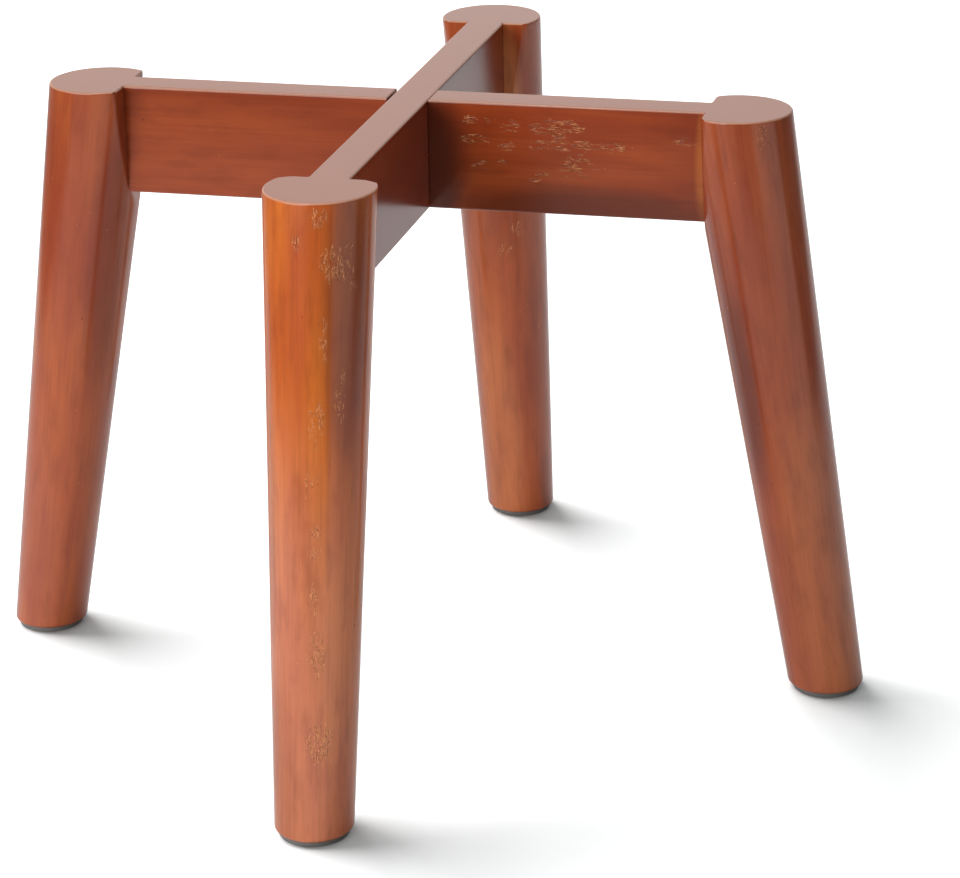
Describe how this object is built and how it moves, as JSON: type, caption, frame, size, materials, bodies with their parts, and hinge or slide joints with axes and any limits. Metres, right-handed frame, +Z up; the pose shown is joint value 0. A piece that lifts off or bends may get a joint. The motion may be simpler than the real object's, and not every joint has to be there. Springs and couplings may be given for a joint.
{
  "type": "plant stand",
  "caption": "Low wooden plant stand: two flat rails halved together in a cross, with a splayed, tapered round leg dowelled to each rail end and a thin pad under every foot.",
  "frame": {"origin": "on the floor under the crossing of the two rails, which is the bottom centre of the stand's box", "axes": "+Z up; +X to the right leg and -Y to the front leg, the one nearest the viewer in the picture; the left-right rail lies along X and the front-back rail along Y"},
  "size_m": [0.3478, 0.3478, 0.229],
  "materials": {
    "leg_wood": "reddish-brown stain under satin lacquer, grain along the leg",
    "rail_wood": "reddish-brown stain under satin lacquer, grain along the rail",
    "dowel_beech": "bare fluted beech",
    "pad_rubber": "matt dark grey"
  },
  "bodies": {
    "left_right_frame": {"left_right_rail": "rail_wood", "left_leg": "leg_wood", "right_leg": "leg_wood", "left_foot_pad": "pad_rubber", "right_foot_pad": "pad_rubber", "left_upper_dowel": "dowel_beech", "left_lower_dowel": "dowel_beech", "right_upper_dowel": "dowel_beech", "right_lower_dowel": "dowel_beech"},
    "front_back_frame": {"front_back_rail": "rail_wood", "front_leg": "leg_wood", "back_leg": "leg_wood", "front_foot_pad": "pad_rubber", "back_foot_pad": "pad_rubber", "front_upper_dowel": "dowel_beech", "front_lower_dowel": "dowel_beech", "back_upper_dowel": "dowel_beech", "back_lower_dowel": "dowel_beech"}
  },
  "joints": [
    {"name": "lift_off", "type": "slide", "parent": "left_right_frame", "child": "front_back_frame", "axis": [0, 0, 1], "range_m": [0, 0.06]}
  ]
}
